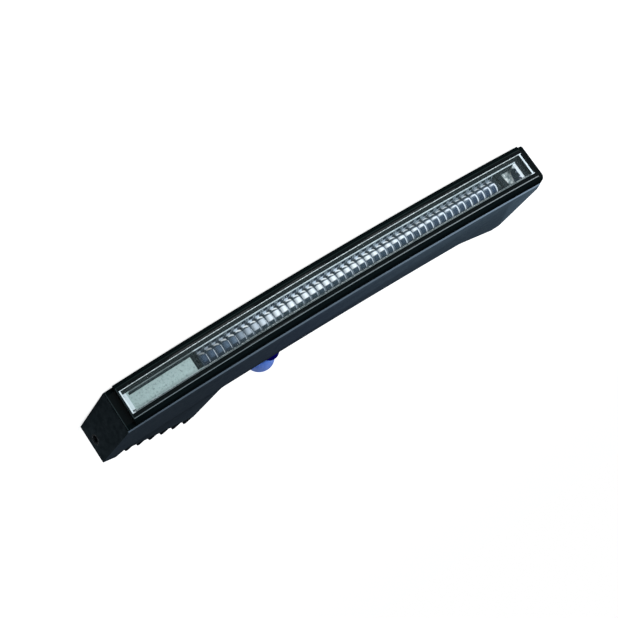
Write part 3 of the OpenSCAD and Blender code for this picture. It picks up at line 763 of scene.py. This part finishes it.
def tray_finish():
    """A painted highlight on the lower rim and painted shade on the upper one, the other way round beside the
    frosted panel, over walls painted dark as shade, with light specks. The ledge beyond the panel is pale,
    and the one at the plain end is black."""
    finish = Finish("tray_bright")
    finish.shader(Roughness=0.3, Specular_IOR_Level=0.0)
    x, z = finish.x(), finish.z()
    walls = finish.ramp(finish.grain(620, 2, 0.6), (0.40, (0.010, 0.014, 0.017)),
                        (0.58, (0.030, 0.040, 0.047)), (0.72, (0.16, 0.19, 0.21)))
    streak = finish.grain(260, 2, 0.5, (1, 1, 0.25))
    # painted highlight on the rims; the upper rim is painted dark as shade
    rim = finish.ramp(streak, (0.3, (0.44, 0.52, 0.56)), (0.6, (0.68, 0.78, 0.82)))
    by_panel = finish.band(x, 95 * MM, 139 * MM, 0.8 * MM)
    lower, upper = finish.below(z, -5.0 * MM, -4.8 * MM), finish.between(z, 4.8 * MM, 5.0 * MM)
    near_ledge = finish.band(x, 138 * MM, 139.8 * MM, 0.1 * MM)
    far_ledge = finish.below(x, -138.9 * MM, -138.7 * MM)
    rim = finish.mixed(finish.times(finish.times(by_panel, lower), 0.85), rim, (0.07, 0.09, 0.09))
    rim = finish.mixed(upper, rim, (0.035, 0.045, 0.050))
    rim = finish.mixed(finish.most(finish.times(by_panel, upper), near_ledge), rim, tuple(colors().frost))
    rim = finish.mixed(far_ledge, rim, (0.006, 0.008, 0.009))
    finish.use("Base Color", finish.mixed(finish.between(finish.depth(), -0.3 * MM, 0.1 * MM), rim, walls))
    return finish.material


def wedge_finish():
    """Grey-green speckle with white flecks, a side painted navy and lilac as shade, a white bar at its end,
    and painted shadow by the flutes.
    """
    finish = Finish("wedge_bright")
    finish.shader(Roughness=0.3, Specular_IOR_Level=0.0)
    x, z = finish.x(), finish.z()
    speck = finish.grain(420, 3, 0.6)
    tone = finish.ramp(speck, (0.38, (0.16, 0.20, 0.21)), (0.50, (0.38, 0.44, 0.45)),
                       (0.62, (0.88, 0.92, 0.92)))
    # painted shade on the slanted side: navy low down, lilac higher up
    lilac = finish.ramp(speck, (0.45, (0.12, 0.14, 0.21)), (0.55, (0.46, 0.48, 0.60)))
    navy = finish.mixed(finish.between(z, 3.0 * MM, 3.6 * MM), (0.035, 0.050, 0.095), lilac)
    side = finish.below(finish.plus(x, finish.times(z, -0.25)), -136.0 * MM, -135.6 * MM)
    bar = finish.times(finish.below(x, -136.8 * MM, -136.6 * MM),
                       finish.below(finish.depth(), 0.4 * MM, 0.5 * MM))
    shadow = finish.between(finish.plus(x, finish.times(z, 0.1)), -131.0 * MM, -130.4 * MM)
    tone = finish.mixed(bar, finish.mixed(side, tone, navy), (0.74, 0.80, 0.84))
    finish.use("Base Color", finish.mixed(shadow, tone, (0.012, 0.016, 0.020)))
    return finish.material


def chamber_finish():
    """Black, with a thin broken painted highlight line along the upper edge of the opening."""
    finish = Finish("chamber_black")
    finish.shader(Roughness=0.3, Specular_IOR_Level=0.0)
    # painted highlight along the upper edge of the opening
    edge = finish.times(finish.band(finish.z(), 6.0 * MM, 6.22 * MM, 0.03 * MM),
                        finish.below(finish.depth(), -1.7 * MM, -1.6 * MM))
    line = finish.ramp(finish.grain(900, 2), (0.38, (0.14, 0.18, 0.19)), (0.6, (0.80, 0.86, 0.88)))
    finish.use("Base Color", finish.mixed(edge, (0.0035, 0.0048, 0.0050), line))
    return finish.material


def frosted_finish():
    """Grey-green frosted plastic with dark and light specks."""
    finish = Finish("frosted_plate")
    finish.shader(Roughness=0.6, Specular_IOR_Level=0.3)
    fine = finish.grain(950, 4, 0.7)
    tone = tuple(colors().frost)
    dark, light = tuple(c * 0.55 for c in tone), tuple(min(c * 1.25, 1) for c in tone)
    finish.use("Base Color", finish.ramp(fine, (0.36, dark), (0.45, tone), (0.8, light)))
    finish.bump(fine, 0.4, 0.05 * MM)
    return finish.material


# The window's edge, which carries a painted highlight


def bowed_block(form, x_ends, z_ends, d_ends, steps):
    """Adds a closed bar that follows the bow between two places along it, two heights and two depths."""
    (z0, z1), (d0, d1) = z_ends, d_ends
    rings = []
    for i in range(steps + 1):
        x = x_ends[0] + (x_ends[1] - x_ends[0]) * i / steps
        corners = ((d0, z0), (d1, z0), (d1, z1), (d0, z1))
        rings.append([form.verts.new(bow(x, d, z)) for d, z in corners])
    for first, second in zip(rings, rings[1:]):
        for j in range(4):
            form.faces.new((first[j], first[(j + 1) % 4], second[(j + 1) % 4], second[j]))
    for ring in (rings[0], rings[-1]):
        form.faces.new(ring)


def window_edge_form():
    """A thin piece round the window's edge that carries its painted highlight, thin along it and thick at
    both ends.
    """
    far, half, thin = 142.6 * MM, 7.62 * MM, 0.34 * MM
    depths = (-5.66 * MM, -5.2 * MM)
    end_bars = ((-141.9 * MM, -140.8 * MM), (141.8 * MM, far))
    form = bmesh.new()
    for side in (-1, 1):
        bowed_block(form, (-far, far), sorted((side * half, side * (half - thin))), depths, steps=96)
    for ends in end_bars:
        bowed_block(form, ends, (-half + thin, half - thin), depths, steps=2)
    return mesh_of(form, "window_edge")


def edge_finish():
    """A painted highlight: white at both ends, broken and pale along the lower line, and dim along the upper
    one.
    """
    finish = Finish("window_edge")
    finish.shader(Roughness=0.3, Specular_IOR_Level=0.1)
    x = finish.x()
    line = finish.ramp(finish.between(finish.z(), -7.0 * MM, 7.0 * MM), (0.0, (0.70, 0.78, 0.80)),
                       (1.0, (0.14, 0.17, 0.18)))
    broken = finish.between(finish.grain(900, 2), 0.4, 0.6, 0.0, 0.5)
    line = finish.mixed(broken, line, (0.06, 0.08, 0.08))
    ends = finish.most(finish.between(x, 141.2 * MM, 141.6 * MM), finish.below(x, -140.7 * MM, -140.4 * MM))
    finish.use("Base Color", finish.mixed(ends, line, (0.62, 0.70, 0.74)))
    return finish.material


# The stage


def studio_light(name, place, size, power, tone):
    """A soft oblong light that faces the middle of the scene."""
    light = bpy.data.lights.new(name, "AREA")
    light.shape = "RECTANGLE"
    light.size, light.size_y = size
    light.energy = power
    light.color = tone
    stand = bpy.data.objects.new(name, light)
    stand.location = place
    sight = Vector((0, 0, HALF_HEIGHT)) - Vector(place)
    stand.rotation_euler = sight.to_track_quat("-Z", "Y").to_euler()
    bpy.context.scene.collection.objects.link(stand)


def background_rays(nodes, links):
    """1 for rays that see the background: from the camera, off a gloss or through a clear piece."""
    path = nodes.new("ShaderNodeLightPath")
    total = path.outputs["Is Camera Ray"]
    for key in ("Is Glossy Ray", "Is Transmission Ray"):
        join = nodes.new("ShaderNodeMath")
        join.operation = "MAXIMUM"
        links.new(total, join.inputs[0])
        links.new(path.outputs[key], join.inputs[1])
        total = join.outputs[0]
    return total


def paper_finish():
    """Pale paper that also glows where it is seen as the background."""
    pale = bpy.data.materials.new("floor_pale")
    pale.use_nodes = True
    nodes, links = pale.node_tree.nodes, pale.node_tree.links
    nodes.clear()
    paper = nodes.new("ShaderNodeBsdfDiffuse")
    paper.inputs["Color"].default_value = (0.8, 0.8, 0.8, 1)
    glow = nodes.new("ShaderNodeEmission")
    glow.inputs["Color"].default_value = (0.78, 0.78, 0.78, 1)
    links.new(background_rays(nodes, links), glow.inputs["Strength"])
    both = nodes.new("ShaderNodeAddShader")
    links.new(paper.outputs[0], both.inputs[0])
    links.new(glow.outputs[0], both.inputs[1])
    links.new(both.outputs[0], nodes.new("ShaderNodeOutputMaterial").inputs[0])
    return pale


def floor_form():
    """One large flat square."""
    form = bmesh.new()
    bmesh.ops.create_grid(form, x_segments=1, y_segments=1, size=6)
    result = bpy.data.meshes.new("floor")
    form.to_mesh(result)
    form.free()
    return result


def studio_room():
    """A dim, cool room to light the lamp, which is plain white where it is seen as the background."""
    world = bpy.data.worlds.new("Studio")
    world.use_nodes = True
    nodes, links = world.node_tree.nodes, world.node_tree.links
    nodes.clear()
    room = nodes.new("ShaderNodeBackground")
    room.inputs["Color"].default_value = (0.9, 0.95, 1.0, 1)
    room.inputs["Strength"].default_value = 0.30
    white = nodes.new("ShaderNodeBackground")
    white.inputs["Color"].default_value = (1, 1, 1, 1)
    pick = nodes.new("ShaderNodeMixShader")
    links.new(background_rays(nodes, links), pick.inputs[0])
    links.new(room.outputs[0], pick.inputs[1])
    links.new(white.outputs[0], pick.inputs[2])
    links.new(pick.outputs[0], nodes.new("ShaderNodeOutputWorld").inputs[0])
    return world


# Operators, one for each piece or group of like pieces and one for the stage


class LAMP_OT_camera(bpy.types.Operator):
    """Place the camera where the photograph was taken from"""
    bl_idname = "lamp.camera"
    bl_label = "Camera"

    def execute(self, context):
        lens = bpy.data.cameras.new("Camera")
        lens.sensor_width = 36
        lens.sensor_fit = "HORIZONTAL"
        lens.lens = LENS
        lens.clip_start = 0.01
        camera = bpy.data.objects.new("Camera", lens)
        right, back = CAMERA_RIGHT.normalized(), CAMERA_BACK.normalized()
        turn = Matrix((right, back.cross(right), back)).transposed().to_4x4()
        camera.matrix_world = Matrix.Translation(MIDDLE + CAMERA_PLACE) @ turn
        context.scene.collection.objects.link(camera)
        context.scene.camera = camera
        return {"FINISHED"}


class LAMP_OT_housing(bpy.types.Operator):
    """Ease the housing's edges and give it its moulded finish"""
    bl_idname = "lamp.housing"
    bl_label = "Housing"

    def execute(self, context):
        show_eased("housing", "housing_shell", housing_finish(), "housing", width=sizes().eased)
        return {"FINISHED"}


class LAMP_OT_bezel(bpy.types.Operator):
    """Make the gloss black bezel and the clear window"""
    bl_idname = "lamp.bezel"
    bl_label = "Bezel and window"

    def execute(self, context):
        show_eased("bezel", "bezel_frame", bezel_finish(), "bezel", width=0.15 * MM)
        show_eased("window", "window_cover", window_finish(), "window", width=0.15 * MM)
        show("window_edge", window_edge_form(), edge_finish(), "window")
        return {"FINISHED"}


class LAMP_OT_optics(bpy.types.Operator):
    """Make the fluted bar, the frosted panel, the end reflector and the tray round them"""
    bl_idname = "lamp.optics"
    bl_label = "Optics"

    def execute(self, context):
        row_on_bow("fluted_bar", flute_form(), flute_finish(), "optic", "optic_bar")
        row_on_bow("prism_row", prism_form(), prism_finish(), "optic")
        dress(tray_finish(), "reflector_tray")
        dress(wedge_finish(), "end_reflector")
        dress(chamber_finish(), "chamber_frame")
        dress(frosted_finish(), "frosted_panel")
        return {"FINISHED"}


class LAMP_OT_fittings(bpy.types.Operator):
    """Give the boards, lights, screws, seals and other fittings their finishes"""
    bl_idname = "lamp.fittings"
    bl_label = "Boards and fittings"

    def execute(self, context):
        for nodes, *look in FITTINGS:
            dress(moulded(*look), *nodes)
        for nodes, *look in METAL_FITTINGS:
            dress(metal(*look), *nodes)
        dress(thread_finish(), "end_insert", "back_inserts")
        return {"FINISHED"}


class LAMP_OT_heat_sink(bpy.types.Operator):
    """Ease the edges of the toothed heat sink and give it its black finish"""
    bl_idname = "lamp.heat_sink"
    bl_label = "Heat sink"

    def execute(self, context):
        anodised = moulded("sink_anodised", (0.006, 0.007, 0.009), (0.014, 0.015, 0.018), 0.6, 0.0, 1100)
        show_eased("heat_sink", "toothed_sink", anodised, "sink", width=0.2 * MM)
        return {"FINISHED"}


class LAMP_OT_connector(bpy.types.Operator):
    """Make the round socket on the back and its bright cap"""
    bl_idname = "lamp.connector"
    bl_label = "Connector"

    def execute(self, context):
        navy, blue = tuple(colors().socket), tuple(colors().cap)
        dark = moulded("socket_navy", tuple(c * 0.8 for c in navy), navy, 0.5, 0.0, 500)
        bright = moulded("cap_blue", tuple(c * 0.9 for c in blue), blue, 0.45, 0.02, 500)
        show_eased("connector_socket", "socket_body", dark, "socket", width=0.3 * MM)
        show_eased("dust_cap", "socket_cap", bright, "cap", width=0.8 * MM, segments=3)
        return {"FINISHED"}


class LAMP_OT_stage(bpy.types.Operator):
    """Lay the pale floor and set up the soft studio light"""
    bl_idname = "lamp.stage"
    bl_label = "Stage"

    def execute(self, context):
        floor = bpy.data.objects.new("floor", floor_form())
        context.scene.collection.objects.link(floor)
        floor.data.materials.append(paper_finish())
        context.scene.world = studio_room()
        for look in STUDIO_LIGHTS:
            studio_light(*look)
        context.scene.view_settings.view_transform = "Standard"
        return {"FINISHED"}


class LAMP_PT_panel(bpy.types.Panel):
    """The steps in order, then the sizes and colours"""
    bl_label = "Running light"
    bl_idname = "LAMP_PT_panel"
    bl_space_type = "VIEW_3D"
    bl_region_type = "UI"
    bl_category = "Running light"

    def draw(self, context):
        for step in STEPS:
            self.layout.operator(step.bl_idname)
        for group in (sizes(), colors()):
            box = self.layout.box()
            for key in group.__annotations__:
                box.prop(group, key)


# In the order in which they run
STEPS = (LAMP_OT_camera, LAMP_OT_housing, LAMP_OT_bezel, LAMP_OT_optics, LAMP_OT_fittings,
         LAMP_OT_heat_sink, LAMP_OT_connector, LAMP_OT_stage)
CLASSES = (LampSizes, LampColors, *STEPS, LAMP_PT_panel)


def register():
    for each in CLASSES:
        bpy.utils.register_class(each)
    bpy.types.Scene.lamp_sizes = bpy.props.PointerProperty(type=LampSizes)
    bpy.types.Scene.lamp_colors = bpy.props.PointerProperty(type=LampColors)


def unregister():
    del bpy.types.Scene.lamp_sizes
    del bpy.types.Scene.lamp_colors
    for each in reversed(CLASSES):
        bpy.utils.unregister_class(each)


def main():
    register()
    for step in STEPS:
        group, name = step.bl_idname.split(".")
        getattr(getattr(bpy.ops, group), name)()


if __name__ == "__main__":
    main()
